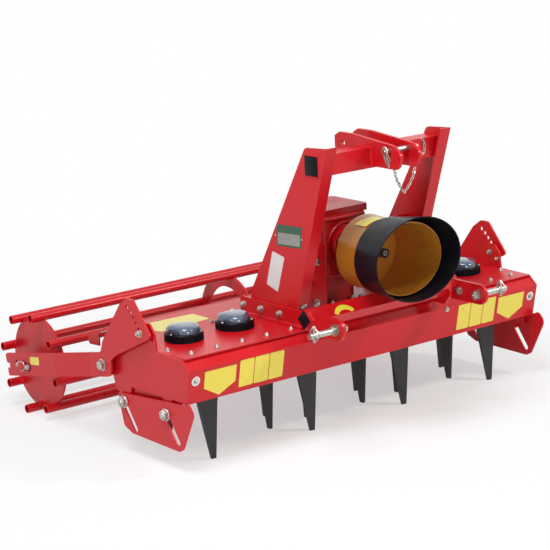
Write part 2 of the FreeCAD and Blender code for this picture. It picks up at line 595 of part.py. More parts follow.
# The outer guard sits on the bell by an inward lip at its rear edge.
ring_sleeve = oval_tube("ring_sleeve", [(-240, 192, 145, 629), (-73, 145, 133, 618)], SIZE["ring_wall"])
lip = cut("ring_lip", oval_slab("lip_outer", -73, 143, 131, 618, 4),
          oval_slab("lip_inner", -70, 137, 125, 618, 10))
NODE["shield_ring"] = fuse("shield_ring", [ring_sleeve, lip])
bell = oval_tube("bell_sleeve", [(-179, 158, 126, 622), (-75, 137, 125, 618), (30, 136, 129, 620)],
                 SIZE["bell_wall"])
back = oval_slab("bell_back", 33, 136, 129, 620, 3)
back_hole = rod("bell_back_hole", "y", (0, 20, q("input_z")), q("neck_r"), 30)
NODE["shield_bell"] = fuse("shield_bell", [bell, cut("bell_back_open", back, back_hole)])

# ---------------------------------------------------------------- filler and vent caps on the lid
CAP = [(0, 0), (65, 0), (65, 25), (62, 29), (53, 29), (51, 37), (45, 44), (30, 48), (0, 48)]
NODE["filler_caps"] = group("filler_caps", [
    turned("cap_%d" % k, CAP, (q("pitch", 0, k), q("line_y"), q("shelf_z"))) for k in (-3, -2, 2, 3)])

# ---------------------------------------------------------------- checks and export
doc.recompute()
for thing in doc.Objects:
    bad = [word for word in ("Invalid", "Error") if word in thing.State]
    if bad:
        raise RuntimeError("%s is %s" % (thing.Name, bad))
low, high = Vector(1e9, 1e9, 1e9), Vector(-1e9, -1e9, -1e9)
for name, thing in NODE.items():
    shape = thing.Shape
    if shape.isNull() or not shape.isValid() or not shape.Solids:
        raise RuntimeError("bad shape: " + name)
    shape.exportStep("parts/%s.step" % name)
    box = shape.BoundBox
    low = Vector(min(low.x, box.XMin), min(low.y, box.YMin), min(low.z, box.ZMin))
    high = Vector(max(high.x, box.XMax), max(high.y, box.YMax), max(high.z, box.ZMax))
    print("%-20s solids %d  volume %.0f cm3" % (name, len(shape.Solids), shape.Volume / 1000.0))
print("nodes %d, low %s, high %s" % (len(NODE), low, high))
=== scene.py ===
# %% [markdown]
# # A power harrow, dressed in Blender
# The solids of the machine come in as a fixed frame, already in metres. This lesson adds what a
# workshop adds after welding: paint, bolts, caps, pins, chain, weld beads and blank stickers.

# %% Load the frame
import math

import bmesh
import bpy
from mathutils import Matrix, Vector


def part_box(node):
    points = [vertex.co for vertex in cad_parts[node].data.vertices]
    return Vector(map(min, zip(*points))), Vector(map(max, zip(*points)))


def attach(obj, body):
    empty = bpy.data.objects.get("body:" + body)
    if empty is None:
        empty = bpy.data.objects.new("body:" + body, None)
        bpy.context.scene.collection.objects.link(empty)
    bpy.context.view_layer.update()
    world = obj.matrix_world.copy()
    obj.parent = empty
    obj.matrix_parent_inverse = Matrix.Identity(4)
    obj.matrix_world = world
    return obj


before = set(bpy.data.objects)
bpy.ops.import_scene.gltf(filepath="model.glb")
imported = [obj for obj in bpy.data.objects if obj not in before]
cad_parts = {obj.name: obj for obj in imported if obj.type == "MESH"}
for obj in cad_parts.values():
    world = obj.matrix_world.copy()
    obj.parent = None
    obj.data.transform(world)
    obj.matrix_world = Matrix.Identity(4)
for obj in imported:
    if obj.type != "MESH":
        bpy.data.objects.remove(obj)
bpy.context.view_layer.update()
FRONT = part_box("trough")[0].y
print("nodes", len(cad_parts), "front of the trough at y =", round(FRONT, 4))


def at(x, y, z):
    """A place in millimetres, with y counted back from the trough's front corner."""
    return Vector((x / 1000, FRONT + y / 1000, z / 1000))


# %% [markdown]
# ## Places on the machine
# The added pieces are set against these places. They are in millimetres and counted as `at` counts
# them: x from the middle, y from the trough's front corner, z from the ground.

# %% Named places
PITCH, ROW_Y = 215, 238                # from rotor to rotor, and the row that they stand in
LID_Z, DECK_Z = 393, 401               # the tops of the lid and of the headstock's platform
END_X = 791                            # where the trough ends and the end plates begin
ARM_FRONT_X, ARM_REAR_X = 822, 836     # outer faces of a roller arm, before and behind its joggle
STUDS = ((381, 180), (132, 187))       # y and z of the studs that carry the side deflectors
MAST_IN, MAST_OUT = 270, 278           # the two faces of a mast plate
BRACKET_IN, BRACKET_OUT = 280, 290     # the two faces of a foot bracket
LUG_IN, LUG_OUT = 318, 330             # the two faces of a hitch lug
CLEVIS_IN, CLEVIS_OUT = 35.5, 47.5     # the two faces of a plate of the top link's clevis
BAR_Y, BAR_Z, BAR_HALF = -41, 451, 35  # the hitch tube's middle, and from there to an edge
BEAM_FRONT, BEAM_REAR, BEAM_LOW, BEAM_TOP = -66, 4, 929, 999
PIN_Y, PIN_Z = -191, 440               # the lower hitch pins
TOP_PIN_Y, TOP_PIN_Z = -158, 996       # the pin of the top link
SHAFT_Z = 625                          # the input shaft
AXLE_Y, AXLE_Z = 995, 192.66           # the roller's axle
CAGE_R = 180                           # the circle that the roller's tubes lie on
WALL_FALL, WALL_LEAN = 118, 25         # the front wall goes back by 25 as it drops by 118
print("rotors at x =", [k * PITCH for k in range(-3, 4)], "and the roller's axle at z =", AXLE_Z)

# %% [markdown]
# ## Camera and light
# The machine is seen from its front left, a little above, through a long lens. A broad soft lamp
# stands for the sky and a second, warmer one gives the paint its highlights. Two weaker lamps fill
# the shadows from the front and the side. The world is dim for plain light and white where it is
# seen, straight, through the bell or in a gloss, so gloss and metal have something to reflect.

# %% Camera
turn, rise, roll = math.radians(-37.594), math.radians(13.199), math.radians(-2.606)
back = Vector((math.sin(turn) * math.cos(rise), -math.cos(turn) * math.cos(rise), math.sin(rise)))
right = Vector((0, 0, 1)).cross(back).normalized()
up = back.cross(right)
right, up = (math.cos(roll) * right + math.sin(roll) * up,
             -math.sin(roll) * right + math.cos(roll) * up)
lens = bpy.data.cameras.new("view")
lens.sensor_width, lens.lens = 36, 129.83
lens.clip_start, lens.clip_end = 0.1, 100
camera = bpy.data.objects.new("view", lens)
camera.matrix_world = Matrix.Translation(at(-4347.0, -5089.1, 2121.3)) @ Matrix(
    (right, up, back)).transposed().to_4x4()
bpy.context.scene.collection.objects.link(camera)
bpy.context.scene.camera = camera
bpy.context.scene.view_settings.view_transform = "Standard"
print("camera at", tuple(round(v, 3) for v in camera.matrix_world.translation), "lens", lens.lens)


# %% Lamps and world
def lamp(name, place, target, power, size, colour):
    data = bpy.data.lights.new(name, "AREA")
    data.energy, data.shape, data.size, data.color = power, "DISK", size, colour
    thing = bpy.data.objects.new(name, data)
    thing.location = place
    thing.rotation_euler = (Vector(target) - Vector(place)).to_track_quat("-Z", "Y").to_euler()
    bpy.context.scene.collection.objects.link(thing)


lamp("sky_lamp", (-2.2, -1.2, 5.2), (0, 0, 0.3), 215, 2.6, (0.95, 0.97, 1.0))
lamp("sun_lamp", (2.8, -3.4, 3.6), (0, -0.2, 0.4), 105, 0.8, (1.0, 0.96, 0.9))
lamp("front_lamp", (-1.6, -4.6, 1.1), (0, -0.6, 0.6), 36, 1.4, (1.0, 0.98, 0.95))
lamp("side_lamp", (-5.0, -0.5, 1.8), (0, 0, 0.4), 34, 2.4, (0.93, 0.96, 1.0))
world = bpy.data.worlds.new("studio")
bpy.context.scene.world = world
world.use_nodes = True
net = world.node_tree
for n in list(net.nodes):
    net.nodes.remove(n)


def shown_white(tree):
    """1 for rays that see the backdrop: from the camera, through glass or off a glossy face."""
    path = tree.nodes.new("ShaderNodeLightPath")
    value = path.outputs["Is Camera Ray"]
    for other in ("Is Transmission Ray", "Is Glossy Ray"):
        larger = tree.nodes.new("ShaderNodeMath")
        larger.operation = "MAXIMUM"
        tree.links.new(value, larger.inputs[0])
        tree.links.new(path.outputs[other], larger.inputs[1])
        value = larger.outputs[0]
    return value


dim, bright, mix, end = (net.nodes.new("ShaderNodeBackground"), net.nodes.new("ShaderNodeBackground"),
                         net.nodes.new("ShaderNodeMixShader"), net.nodes.new("ShaderNodeOutputWorld"))
dim.inputs["Color"].default_value, dim.inputs["Strength"].default_value = (0.86, 0.9, 1.0, 1), 0.2
bright.inputs["Color"].default_value, bright.inputs["Strength"].default_value = (1, 1, 1, 1), 1.0
net.links.new(shown_white(net), mix.inputs[0])
net.links.new(dim.outputs[0], mix.inputs[1])
net.links.new(bright.outputs[0], mix.inputs[2])
net.links.new(mix.outputs[0], end.inputs[0])

# %% [markdown]
# ## Finishes
# Sheet steel is powder coated: a flat colour, a faint orange peel and a clear glossy skin. Dust
# settles on it in soft patches. One group makes both, and each finish sets its own amounts. Bare
# and plated steel carry fine scratches, and cast and forged pieces a coarser skin.


# %% The shared surface group
def surface_group():
    group = bpy.data.node_groups.new("workshop_surface", "ShaderNodeTree")
    face = group.interface
    for name, kind, start in (("Colour", "NodeSocketColor", (0.5, 0.5, 0.5, 1)),
                              ("Tone", "NodeSocketColor", (0.5, 0.5, 0.5, 1)),
                              ("Patch scale", "NodeSocketFloat", 6.0),
                              ("Grain scale", "NodeSocketFloat", 400.0),
                              ("Amount", "NodeSocketFloat", 0.3), ("Rough low", "NodeSocketFloat", 0.2),
                              ("Rough high", "NodeSocketFloat", 0.4)):
        socket = face.new_socket(name=name, in_out="INPUT", socket_type=kind)
        socket.default_value = start
    for name, kind in (("Colour", "NodeSocketColor"), ("Roughness", "NodeSocketFloat"),
                       ("Grain", "NodeSocketFloat")):
        face.new_socket(name=name, in_out="OUTPUT", socket_type=kind)
    new, link = group.nodes.new, group.links.new
    inside, out = new("NodeGroupInput"), new("NodeGroupOutput")
    place = new("ShaderNodeTexCoord")
    patch, grain = new("ShaderNodeTexNoise"), new("ShaderNodeTexNoise")
    patch.inputs["Detail"].default_value, grain.inputs["Detail"].default_value = 5, 3
    for noise, scale in ((patch, "Patch scale"), (grain, "Grain scale")):
        link(place.outputs["Object"], noise.inputs["Vector"])
        link(inside.outputs[scale], noise.inputs["Scale"])
    spread = new("ShaderNodeMapRange")
    spread.inputs["From Min"].default_value, spread.inputs["From Max"].default_value = 0.42, 0.72
    link(patch.outputs["Fac"], spread.inputs["Value"])
    share = new("ShaderNodeMath")
    share.operation = "MULTIPLY"
    link(spread.outputs["Result"], share.inputs[0])
    link(inside.outputs["Amount"], share.inputs[1])
    mix = new("ShaderNodeMix")
    mix.data_type = "RGBA"
    link(share.outputs[0], mix.inputs["Factor"])
    link(inside.outputs["Colour"], mix.inputs["A"])
    link(inside.outputs["Tone"], mix.inputs["B"])
    link(mix.outputs["Result"], out.inputs["Colour"])
    rough = new("ShaderNodeMapRange")
    link(patch.outputs["Fac"], rough.inputs["Value"])
    rough.inputs["From Min"].default_value, rough.inputs["From Max"].default_value = 0.3, 0.7
    link(inside.outputs["Rough low"], rough.inputs["To Min"])
    link(inside.outputs["Rough high"], rough.inputs["To Max"])
    link(rough.outputs["Result"], out.inputs["Roughness"])
    link(grain.outputs["Fac"], out.inputs["Grain"])
    return group


SURFACE = surface_group()
print(SURFACE.name, "has", len(SURFACE.nodes), "nodes")


# %% A finish from the group
def finish(name, colour, tone, amount=0.25, rough=(0.2, 0.35), patch=6.0, grain=500.0, bump=0.1,
           depth=0.0005, metal=0.0, coat=0.0, **sockets):
    material = bpy.data.materials.new(name)
    material.use_nodes = True
    tree = material.node_tree
    shader = tree.nodes["Principled BSDF"]
    work = tree.nodes.new("ShaderNodeGroup")
    work.node_tree = SURFACE
    for socket, value in (("Colour", (*colour, 1)), ("Tone", (*tone, 1)), ("Patch scale", patch),
                          ("Grain scale", grain), ("Amount", amount), ("Rough low", rough[0]),
                          ("Rough high", rough[1])):
        work.inputs[socket].default_value = value
    tree.links.new(work.outputs["Colour"], shader.inputs["Base Color"])
    tree.links.new(work.outputs["Roughness"], shader.inputs["Roughness"])
    if bump:
        relief = tree.nodes.new("ShaderNodeBump")
        relief.inputs["Strength"].default_value, relief.inputs["Distance"].default_value = bump, depth
        tree.links.new(work.outputs["Grain"], relief.inputs["Height"])
        tree.links.new(relief.outputs["Normal"], shader.inputs["Normal"])
    shader.inputs["Metallic"].default_value = metal
    shader.inputs["Coat Weight"].default_value = coat
    shader.inputs["Coat Roughness"].default_value = 0.06
    for socket, value in sockets.items():
        shader.inputs[socket.replace("_", " ")].default_value = value
    return material


RED = finish("red_powder_coat", (0.60, 0.006, 0.012), (0.60, 0.014, 0.018), 0.3, (0.26, 0.38), 4.0, 260,
             0.06, 0.0006, coat=0.06, Specular_IOR_Level=0.32)
# The casting's red is a darker copy of the red paint: painted shade for the shade on the gearbox behind
# the bell. Its coarse skin is real.
SHADED_CASTING_RED = finish("casting_red_painted_shade", (0.38, 0.003, 0.006), (0.28, 0.006, 0.008), 0.5, (0.25, 0.42),
                  9, 160, 0.35, 0.0012, coat=0.1, Specular_IOR_Level=0.3)
TINE = finish("black_forged_tines", (0.008, 0.008, 0.009), (0.03, 0.03, 0.032), 0.5, (0.34, 0.55), 14, 220,
              0.3, 0.001)
ZINC = finish("zinc_plate", (0.54, 0.53, 0.49), (0.28, 0.28, 0.28), 0.8, (0.22, 0.42), 60, 900, 0.12,
              0.0003, metal=1.0)
STEEL = finish("bare_steel", (0.26, 0.26, 0.27), (0.16, 0.15, 0.15), 0.6, (0.28, 0.45), 40, 700, 0.15,
               0.0003, metal=1.0)
BLACK = finish("moulded_black", (0.004, 0.005, 0.008), (0.009, 0.010, 0.016), 0.4, (0.28, 0.42), 20, 500,
               0.06, 0.0004, Specular_IOR_Level=0.1)
AMBER = finish("amber_polymer", (0.62, 0.26, 0.03), (0.54, 0.20, 0.02), 0.6, (0.16, 0.3), 7, 120, 0.08,
               0.0008, coat=0.3)
YELLOW = finish("yellow_vinyl", (0.86, 0.70, 0.05), (0.74, 0.66, 0.10), 0.35, (0.25, 0.4), 12, 300, 0.04,
                0.0002, coat=0.5)
PALE = finish("white_vinyl", (0.80, 0.80, 0.78), (0.66, 0.67, 0.66), 0.3, (0.3, 0.45), 14, 300, 0.04,
              0.0002)
DATA = finish("green_grey_foil", (0.02, 0.09, 0.04), (0.04, 0.11, 0.06), 0.5, (0.3, 0.4), 20, 300, 0.04,
              0.0002)
GREY = finish("grey_foil", (0.30, 0.31, 0.27), (0.22, 0.24, 0.22), 0.5, (0.3, 0.4), 30, 300, 0.04, 0.0002)
# The knob's blue grey base is a painted reflection of the sky in its glossy top.
SKY_REFLECTION_KNOB = finish("knob_painted_sky_reflection", (0.05, 0.09, 0.15), (0.08, 0.12, 0.18), 0.5, (0.08, 0.16), 24, 300, 0.04,
              0.0003, coat=0.9)
# The bell lets some light through.
shader = AMBER.node_tree.nodes["Principled BSDF"]
shader.inputs["Transmission Weight"].default_value = 0.3
shader.inputs["IOR"].default_value = 1.45
shader.inputs["Subsurface Weight"].default_value = 0.15
shader.inputs["Subsurface Scale"].default_value = 0.01
print("finishes:", [material.name for material in bpy.data.materials])

# %% Put a finish on every solid of the frame
# The gearbox, its cover and the bearing housings take the darker red with its painted shade.
FINISH = {"top_link_pin": ZINC, "hitch_pins": ZINC, "pivot_bolts": ZINC, "input_shaft": STEEL,
          "shield_ring": BLACK, "filler_caps": BLACK, "shield_bell": AMBER, "gearbox": SHADED_CASTING_RED,
          "gearbox_cover": SHADED_CASTING_RED, "bearing_housings": SHADED_CASTING_RED}
for name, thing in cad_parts.items():
    chosen = TINE if name.startswith(("rotor_", "tines_")) else FINISH.get(name, RED)
    thing.data.materials.clear()
    thing.data.materials.append(chosen)
print(len(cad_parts), "solids have their finish")

# %% [markdown]
# ## Making a piece
# Each new piece is one bmesh, turned into an object at the origin and given to the body that
# carries it. Small hardware of one kind on one body shares one piece, which keeps the list short.


# %% From bmesh to a piece that rides on a body
def piece(bm, name, material, body="root", smooth=35):
    bmesh.ops.remove_doubles(bm, verts=bm.verts[:], dist=1e-6)
    bmesh.ops.recalc_face_normals(bm, faces=bm.faces[:])
    mesh = bpy.data.meshes.new(name)
    bm.to_mesh(mesh)
    bm.free()
    thing = bpy.data.objects.new(name, mesh)
    bpy.context.scene.collection.objects.link(thing)
    mesh.materials.append(material)
    for face in mesh.polygons:
        face.use_smooth = True
    mesh.set_sharp_from_angle(angle=math.radians(smooth))
    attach(thing, body)
    print(name, "-", len(mesh.polygons), "faces on", body)
    return thing


def facing(place, way):
    """A matrix that stands a shape made along +Z at a place, pointing along a direction."""
    return Matrix.Translation(place) @ Vector(way).to_track_quat("Z", "Y").to_matrix().to_4x4()


def cone(bm, sides, low_r, top_r, tall, stand):
    """A capped cone, sized in millimetres. It gives back its vertices."""
    return bmesh.ops.create_cone(bm, cap_ends=True, segments=sides, radius1=low_r / 1000,
                                 radius2=top_r / 1000, depth=tall / 1000, matrix=stand)["verts"]


def edges_of(verts):
    return {e for v in verts for e in v.link_edges}


def soften(bm, edges, offset):
    """Bevel edges in two steps, by an offset in millimetres."""
    bmesh.ops.bevel(bm, geom=list(edges), offset=offset / 1000, offset_type="OFFSET", segments=2,
                    profile=0.5, affect="EDGES", material=-1)


# %% [markdown]
# ## Bolts
# A bolt shows as a washer, a hexagonal head and, where a nut sits on it, the end of its thread. A
# cone with six sides and a beveled upper rim gives the head, and thin round ones the other two.


# %% One bolt, and a row of them
WASHER = 1.8                           # thickness of a washer


def add_bolt(bm, place, way, size=8.0, washer=True, stud=0.0):
    """A bolt that stands on a place. Its size is a little more than its head's radius."""
    stand = facing(place, way)

    def raised(height):
        return stand @ Matrix.Translation((0, 0, height / 1000))

    low, tall = WASHER if washer else 0.0, size * 0.62
    if washer:
        cone(bm, 20, size * 1.12, size * 1.08, WASHER, raised(WASHER / 2))
    head = cone(bm, 6, size * 0.95, size * 0.95, tall, raised(low + tall / 2))
    rim = (low + tall * 0.9) / 1000
    soften(bm, [e for e in edges_of(head) if all((stand.inverted() @ v.co).z > rim for v in e.verts)],
           size * 0.12)
    if stud:
        cone(bm, 16, size * 0.5, size * 0.44, stud, raised(low + tall + stud / 2))


def bolts(name, spots, way, size=8.0, body="root", material=ZINC, **more):
    bm = bmesh.new()
    for spot in spots:
        add_bolt(bm, at(*spot), way, size, **more)
    return piece(bm, name, material, body)


# %% Bolts of the lid, headstock and gearbox
lid_rows = [(x, 72, DECK_Z if abs(x) < 296 else LID_Z) for x in range(-735, 736, 105)]
lid_rows += [(s * x, y, LID_Z) for s in (-1, 1)
             for x, y in ((768, 160), (757, 290), (442, 352), (398, 350))]
lid_rows += [(x, 425, LID_Z) for x in range(-300, 301, 150)]
bolts("lid_bolts", lid_rows, (0, 0, 1), 8.5, stud=3)
for side, sign in (("left", -1), ("right", 1)):
    for kind, x, way, size, stud in (("bolts", BRACKET_OUT, sign, 13, 5),
                                     ("nuts", BRACKET_IN, -sign, 12, 4)):
        bolts("foot_%s_%s" % (kind, side), [(sign * x, y, 425) for y in (370, 270, 165)],
              (way, 0, 0), size, stud=stud)
bolts("strut_bolts", [(s * x, 120, z) for s in (-1, 1) for x, z in ((153, 592), (220, 454), (162, 448))],
      (0, -1, 0), 13, stud=4)
bolts("flange_bolts", [(x, y, 416) for x in (-89, -41, 49, 89) for y in (176, 329)], (0, 0, 1), 10, stud=4)
bolts("boss_bolts", [(60 * math.cos(a), 112, SHAFT_Z + 60 * math.sin(a))
                     for a in [math.radians(30 + 60 * k) for k in range(6)]], (0, -1, 0), 8)
bolts("platform_bolts", [(x, y, DECK_Z) for x in (-240, 240) for y in (60, 372)]
      + [(x, 372, DECK_Z) for x in (-160, 160)], (0, 0, 1), 11, stud=4)
# The clamping nuts of the deflectors sit over the studs of the end plates.
CLAMP_X = 811
for side, sign in (("left", -1), ("right", 1)):
    bolts("deflector_nuts_" + side, [(sign * CLAMP_X, y, z) for y, z in STUDS],
          (sign, 0, 0), 20, stud=4)
    bolts("end_nuts_" + side, [(sign * END_X, 203, 426)], (-sign, 0, 0), 8, stud=4)

# %% Bolts under the rotors hold the tines
HUB_HALF = 49                          # half the side of a rotor's hub
HUB_LOW, FOOT_LOW = 206, 212           # undersides of the hub and of a tine's foot
for k in range(1, 8):
    x0 = (k - 4) * PITCH
    a = math.radians(-4 if k % 2 else 94)
    under = bmesh.new()
    for reach, sign in ((36, 1), (36, -1), (72, 1), (72, -1)):
        for shift in (-16, 16):
            x = x0 + sign * reach * math.sin(a) + shift * math.cos(a)
            y = ROW_Y - sign * reach * math.cos(a) + shift * math.sin(a)
            z = HUB_LOW if reach < HUB_HALF else FOOT_LOW
            add_bolt(under, at(x, y, z), (0, 0, -1), 7.5, stud=3)
    piece(under, "tine_bolts_%d" % k, ZINC, "rotor_body_%d" % k)

# %% [markdown]
# ## Caps on the open tube ends
# Square tube gets a pressed-in plastic cap: a low pillow with rounded corners. It starts as a
# scaled cube whose edges are beveled in two steps.


# %% Square end caps
def end_cap(bm, place, way, side, angle, thick=4.0):
    turn_in = Matrix.Rotation(math.radians(angle), 4, "Z")
    stand = facing(place, way) @ turn_in @ Matrix.Translation((0, 0, thick / 2000))
    made = bmesh.ops.create_cube(bm, size=1.0, matrix=stand @ Matrix.Diagonal(
        (side / 1000, side / 1000, thick / 1000, 1)))
    soften(bm, edges_of(made["verts"]), 1.6)


BEAM_END, BAR_END = 279, 345           # where the upper beam and the hitch tube end
beam_middle = ((BEAM_FRONT + BEAM_REAR) / 2, (BEAM_LOW + BEAM_TOP) / 2)
caps = bmesh.new()
for sign in (-1, 1):
    end_cap(caps, at(sign * BEAM_END, *beam_middle), (sign, 0, 0), 67, 0)
    end_cap(caps, at(sign * BAR_END, BAR_Y, BAR_Z), (sign, 0, 0), 47, 45)
piece(caps, "tube_end_caps", BLACK)

# %% [markdown]
# ## Oil filler caps
# Each cap is a round box with a glossy, lobed knob on top. Small ribs round the box give the hand
# a hold. The knob is built from rings whose radius swings three times round.


# %% Ribs, knobs and screws of the caps
CAPPED, CAP_TOP = (-3, -2, 2, 3), 422  # the rotors that have a cap over them, and the box's top
RIBS, AROUND = 28, 72                  # ribs on a box, and points round a knob
grips, knobs = bmesh.new(), bmesh.new()
for k in CAPPED:
    for n in range(RIBS):
        a = 2 * math.pi * n / RIBS
        spot = at(k * PITCH + 65 * math.cos(a), ROW_Y + 65 * math.sin(a), 406)
        cone(grips, 8, 2.8, 2.2, 22, Matrix.Translation(spot))
    # The knob is a stack of lobed rings, narrower towards the top.
    rows = []
    for z, share in ((CAP_TOP + 0.2, 1.0), (432, 1.0), (438, 0.95), (443, 0.84), (446, 0.62), (447, 0.3)):
        row = []
        for n in range(AROUND):
            a = 2 * math.pi * n / AROUND
            r = share * (56.5 + 4.5 * math.cos(3 * a - 0.6))
            row.append(knobs.verts.new(at(k * PITCH + r * math.cos(a), ROW_Y + r * math.sin(a), z)))
        rows.append(row)
    for under, over in zip(rows, rows[1:]):
        for n in range(AROUND):
            m = (n + 1) % AROUND
            knobs.faces.new((under[n], under[m], over[m], over[n]))
    knobs.faces.new(rows[-1])
    knobs.faces.new(rows[0][::-1])
piece(grips, "cap_grips", BLACK, smooth=50)
# The knobs' blue grey is painted sky reflection.
piece(knobs, "cap_knobs", SKY_REFLECTION_KNOB, smooth=40)
bolts("cap_screws", [(k * PITCH + 61 * math.cos(a), ROW_Y + 61 * math.sin(a), CAP_TOP)
                     for k in CAPPED for a in [math.radians(71 + 120 * n) for n in range(3)]],
      (0, 0, 1), 5, washer=False)

# %% [markdown]
# ## Wire, rings and chain
# Linch pins, their spring rings and the small chain are bent wire. A curve with a round bevel is
# the natural tool, and it is turned into a mesh so that many links can share one piece.


# %% A tube along points
def round_curve(points, radius, sides, kind):
    """A curve along places, with a round bevel of a radius in millimetres, and its line."""
    curve = bpy.data.curves.new("wire", "CURVE")
    curve.dimensions, curve.bevel_depth, curve.bevel_resolution = "3D", radius / 1000, sides
    curve.use_fill_caps = True
    line = curve.splines.new(kind)
    line.points.add(len(points) - 1)
    for k, p in enumerate(points):
        line.points[k].co = (*p, 1)
    return curve, line


def add_curve(bm, curve):
    """Turn a curve into faces of a bmesh and clear the curve away."""
    holder = bpy.data.objects.new("wire", curve)
    mesh = bpy.data.meshes.new_from_object(holder)
    bm.from_mesh(mesh)
    bpy.data.objects.remove(holder)
    bpy.data.curves.remove(curve)
    bpy.data.meshes.remove(mesh)


def wire(bm, points, radius, closed=False, sides=3, kind="NURBS"):
    curve, line = round_curve(points, radius, sides, kind)
    if kind == "NURBS":
        line.order_u, line.use_endpoint_u = 3, not closed
    line.use_cyclic_u = closed
    line.resolution_u = 3
    add_curve(bm, curve)


def ring_points(centre, u, v, a, b, count=12):
    return [centre + u * (a * math.cos(t) / 1000) + v * (b * math.sin(t) / 1000)
            for t in [2 * math.pi * k / count for k in range(count)]]


X, Y, Z = Vector((1, 0, 0)), Vector((0, 1, 0)), Vector((0, 0, 1))

# %% Linch pins on the lower hitch pins
LINCH_X, PIN_START = 425, 301          # the hole near a pin's free end, and the pin's inner end
RINGS_AT = (350, 412)                  # thin rings on the pin
linch = bmesh.new()
for sign in (-1, 1):
    spot = at(sign * LINCH_X, PIN_Y, PIN_Z)
    wire(linch, [spot - Z * 0.024, spot, spot + Z * 0.024], 4, kind="POLY")
    bmesh.ops.create_uvsphere(linch, u_segments=16, v_segments=10, radius=0.0075,
                              matrix=Matrix.Translation(spot + Z * 0.026))
    wire(linch, ring_points(spot + Z * 0.004, Y, Z, 21, 22, 14), 2.2, closed=True)
    for reach in RINGS_AT:
        wire(linch, ring_points(at(sign * reach, PIN_Y, PIN_Z), Y, Z, 12.6, 12.6, 12), 1.6, closed=True)
piece(linch, "linch_pins", ZINC)
for side, sign in (("left", -1), ("right", 1)):
    bolts("hitch_end_nut_" + side, [(sign * PIN_START, PIN_Y, PIN_Z)], (-sign, 0, 0), 15,
          washer=False, stud=6)

# %% The clip and chain of the top link pin
chain = bmesh.new()
stops = [(-30, -158, 941), (-13, -152, 896), (7, -145, 869), (32, -135, 838), (70, -120, 857),
         (100, -108, 881), (116, -98, 897), (140, -85, 932), (188, -70, 951), (193, -69, 980),
         (182, -68, 997)]
route = [at(*p) for p in stops]
count = 0
for a, b in zip(route, route[1:]):
    steps = max(1, round((b - a).length / 0.0135))
    for n in range(steps):
        mid, along = a.lerp(b, (n + 0.5) / steps), (b - a).normalized()
        side = along.cross(Y).normalized()
        if count % 2:
            side = along.cross(side).normalized()
        wire(chain, ring_points(mid, along, side, 8.8, 4.8, 8), 1.5, closed=True, sides=2)
        count += 1
clip = at(-66, TOP_PIN_Y, TOP_PIN_Z)
hang, wide = Vector((0.36, 0.02, -0.93)).normalized(), Vector((0.79, -0.61, 0.0))
for half, inside in ((34, 8.5), (30, 2.2)):
    wire(chain, ring_points(clip + hang * 0.029, hang, wide, half, inside, 16), 2.3, closed=True)
wire(chain, ring_points(clip, Y, Z, 13, 15, 12), 3.0, closed=True)
wire(chain, ring_points(clip - X * 0.004, Y, Z, 6, 7, 12), 3.0, closed=True)
piece(chain, "top_pin_chain", ZINC)

# %% [markdown]
# ## Shaft end, gearbox and depth pins
# The shaft ends in a dark face with a turned centre. A thin black layer under the gearbox's cover
# is a joint and also painted shadow, the dark line under the cover's edge. Rounded rims stand out
# along the casting. A depth pin through each roller arm sets the roller's height, and its nut shows
# on the inner side.

# %% The shaft's dark end face with its turned centre
shaft_face, shaft_boss = bmesh.new(), bmesh.new()
shaft_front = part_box("input_shaft")[0].y
for bm, r, deep in ((shaft_face, 17.0, 0.6), (shaft_boss, 9.0, 1.2), (shaft_face, 4.6, 1.8)):
    cone(bm, 40, r, r, deep, facing((0, shaft_front - deep / 2000, SHAFT_Z / 1000), -Y))
piece(shaft_face, "shaft_face", BLACK, "input")
piece(shaft_boss, "shaft_boss", STEEL, "input")

# %% The dark joint under the cover of the gearbox, which is also painted shadow under its edge
low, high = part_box("gearbox_cover")
# A black layer just inside the cover's outline: a joint, and painted shadow under the cover's edge.
joint_and_shadow = bmesh.new()
bmesh.ops.create_cube(joint_and_shadow, size=1, matrix=Matrix.Translation(
    ((low.x + high.x) / 2, (low.y + high.y) / 2, low.z - 0.0015)) @ Matrix.Diagonal(
    (high.x - low.x - 0.006, high.y - low.y - 0.006, 0.003, 1)))
piece(joint_and_shadow, "cover_joint_and_painted_shadow", BLACK)

# %% Rims of the gearbox casting
# The casting is thicker along its upper edge and down its front corners, and a line parts it from
# its foot. The outline follows its four walls, with rounded corners.
BOX_HALF, BOX_FRONT, BOX_REAR, BOX_ROUND = 95, 140, 330, 24
inner_x, inner_front, inner_rear = BOX_HALF - BOX_ROUND, BOX_FRONT + BOX_ROUND, BOX_REAR - BOX_ROUND
wall = []
for cx, cy, start in ((inner_x, inner_front, -90), (inner_x, inner_rear, 0),
                      (-inner_x, inner_rear, 90), (-inner_x, inner_front, 180)):
    for step in range(5):
        a = math.radians(start + 22.5 * step)
        wall.append((cx + BOX_ROUND * math.cos(a), cy + BOX_ROUND * math.sin(a)))
rims = bmesh.new()
for z, r in ((726, 7), (525, 5)):
    wire(rims, [at(x, y, z) for x, y in wall], r, closed=True, kind="POLY")
wire(rims, ring_points(at(0, BOX_FRONT - 1, SHAFT_Z), X, Z, 84, 84, 32), 5, closed=True)
for s in (-1, 1):
    corner_x, corner_y = s * (BOX_HALF - 7), BOX_FRONT + 7
    wire(rims, [at(corner_x, corner_y, 530), at(corner_x, corner_y, 722)], 7, kind="POLY")
piece(rims, "casting_rims", SHADED_CASTING_RED)

# %% Depth pins of the roller arms
for side, sign in (("left", -1), ("right", 1)):
    pin = bmesh.new()
    spot = at(sign * ARM_FRONT_X, 240, 447)
    add_bolt(pin, spot, (sign, 0, 0), 12, stud=6)
    piece(pin, "depth_pin_" + side, ZINC, "arms")
    bolts("depth_nut_" + side, [(sign * END_X, 240, 447)], (-sign, 0, 0), 10, stud=5)

# %% [markdown]
# ## Roller ends
# The roller's axle ends in a slotted arm. Outside the arm it carries a collar and a split pin, and
# two bolts hold its bearing. The collar is a thick disc, made as a cone with its rims beveled.


